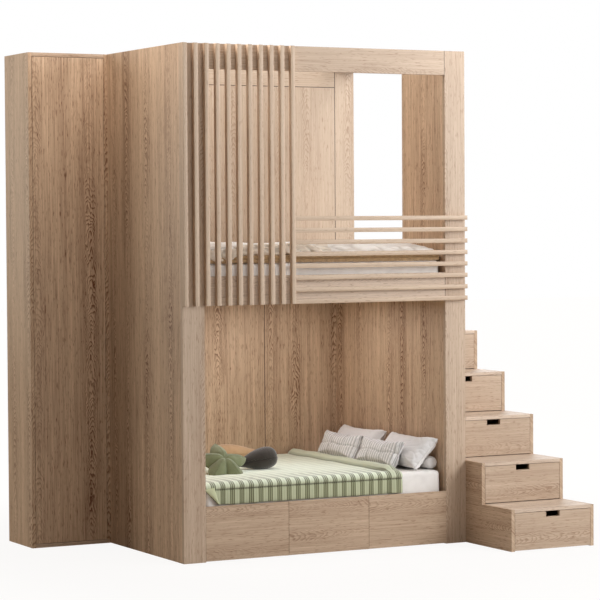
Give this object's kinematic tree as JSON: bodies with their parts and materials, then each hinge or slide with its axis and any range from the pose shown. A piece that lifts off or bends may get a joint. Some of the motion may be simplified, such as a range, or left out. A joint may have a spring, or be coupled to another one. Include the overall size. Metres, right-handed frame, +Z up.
{
  "type": "bunk bed",
  "caption": "Bunk bed in oak veneer with a slatted front, drawers under the lower bed, a tall side cabinet and stairs made of drawers.",
  "frame": {"origin": "middle of the footprint, on the floor", "axes": "+X to the right along the front, +Y from the front to the back, +Z up"},
  "size_m": [2.404, 1.588, 2.4],
  "materials": {
    "oak_veneer_upright": "matt lacquered veneer, upright grain",
    "oak_veneer_level": "matt lacquered veneer, level grain",
    "spruce_timber": "planed",
    "birch_plywood": "sanded",
    "zinc_plated_steel": "zinc plated",
    "white_cotton": "plain weave",
    "quilted_grey_cotton": "quilted with faint stripes",
    "green_striped_cotton": "woven stripes",
    "sage_cotton": "plain weave",
    "grey_velvet": "short pile",
    "tan_cotton": "soft weave",
    "brown_wool": "soft weave",
    "cream_linen": "washed"
  },
  "bodies": {
    "frame": {"back_outer_panel": "oak_veneer_upright", "back_posts": "oak_veneer_upright", "bed_base_slats": "spruce_timber", "bed_ledgers": "spruce_timber", "cabinet_back": "oak_veneer_upright", "cabinet_shelves": "oak_veneer_level", "cabinet_sides": "oak_veneer_upright", "cabinet_top_and_bottom": "oak_veneer_level", "cream_duvet": "cream_linen", "door_pivot_pins": "zinc_plated_steel", "doorway_lining": "oak_veneer_level", "drawer_dividers": "spruce_timber", "drawer_runners": "spruce_timber", "front_posts": "oak_veneer_upright", "front_top_rail": "oak_veneer_level", "green_striped_blanket": "green_striped_cotton", "grey_teardrop_cushion": "grey_velvet", "guard_rails": "oak_veneer_level", "left_wall_panels": "oak_veneer_upright", "lower_back_lining": "oak_veneer_upright", "lower_mattress": "white_cotton", "platform_ceiling_panel": "oak_veneer_level", "platform_front_board": "oak_veneer_level", "quilted_cushion_back": "quilted_grey_cotton", "quilted_cushion_front": "quilted_grey_cotton", "rail_dowels": "spruce_timber", "right_wall_inner_panel": "oak_veneer_upright", "right_wall_outer_panel": "oak_veneer_upright", "stair_back": "oak_veneer_level", "stair_sides": "oak_veneer_level", "stair_top_riser": "oak_veneer_level", "stair_treads": "oak_veneer_level", "star_cushion": "sage_cotton", "strip_screws": "zinc_plated_steel", "tan_blanket": "brown_wool", "tan_teardrop_cushion": "tan_cotton", "upper_back_lining": "oak_veneer_upright", "upper_mattress": "white_cotton", "vertical_slats": "oak_veneer_upright", "wall_studs": "spruce_timber", "white_bolster": "white_cotton", "white_pillow_back": "white_cotton", "white_pillow_front": "white_cotton"},
    "bed_drawer_left": {"bed_drawer_front_left": "oak_veneer_level", "bed_drawer_box_left": "birch_plywood"},
    "bed_drawer_middle": {"bed_drawer_front_middle": "oak_veneer_level", "bed_drawer_box_middle": "birch_plywood"},
    "bed_drawer_right": {"bed_drawer_front_right": "oak_veneer_level", "bed_drawer_box_right": "birch_plywood"},
    "step_drawer_1": {"step_drawer_front_1": "oak_veneer_level", "step_drawer_box_1": "birch_plywood"},
    "step_drawer_2": {"step_drawer_front_2": "oak_veneer_level", "step_drawer_box_2": "birch_plywood"},
    "step_drawer_3": {"step_drawer_front_3": "oak_veneer_level", "step_drawer_box_3": "birch_plywood"},
    "step_drawer_4": {"step_drawer_front_4": "oak_veneer_level", "step_drawer_box_4": "birch_plywood"},
    "step_drawer_5": {"step_drawer_front_5": "oak_veneer_level", "step_drawer_box_5": "birch_plywood"},
    "cabinet_door": {"cabinet_door": "oak_veneer_upright"}
  },
  "joints": [
    {"name": "bed_drawer_left_slide", "type": "slide", "parent": "frame", "child": "bed_drawer_left", "axis": [0, -1, 0], "range_m": [0, 0.45]},
    {"name": "bed_drawer_middle_slide", "type": "slide", "parent": "frame", "child": "bed_drawer_middle", "axis": [0, -1, 0], "range_m": [0, 0.45]},
    {"name": "bed_drawer_right_slide", "type": "slide", "parent": "frame", "child": "bed_drawer_right", "axis": [0, -1, 0], "range_m": [0, 0.45]},
    {"name": "step_drawer_1_slide", "type": "slide", "parent": "frame", "child": "step_drawer_1", "axis": [0, -1, 0], "range_m": [0, 0.33]},
    {"name": "step_drawer_2_slide", "type": "slide", "parent": "frame", "child": "step_drawer_2", "axis": [0, -1, 0], "range_m": [0, 0.33]},
    {"name": "step_drawer_3_slide", "type": "slide", "parent": "frame", "child": "step_drawer_3", "axis": [0, -1, 0], "range_m": [0, 0.33]},
    {"name": "step_drawer_4_slide", "type": "slide", "parent": "frame", "child": "step_drawer_4", "axis": [0, -1, 0], "range_m": [0, 0.33]},
    {"name": "step_drawer_5_slide", "type": "slide", "parent": "frame", "child": "step_drawer_5", "axis": [0, -1, 0], "range_m": [0, 0.33]},
    {"name": "cabinet_door_hinge", "type": "hinge", "parent": "frame", "child": "cabinet_door", "pos_m": [-1.168, 0.4835, 1.2], "axis": [0, 0, -1], "range_deg": [0, 100]}
  ]
}
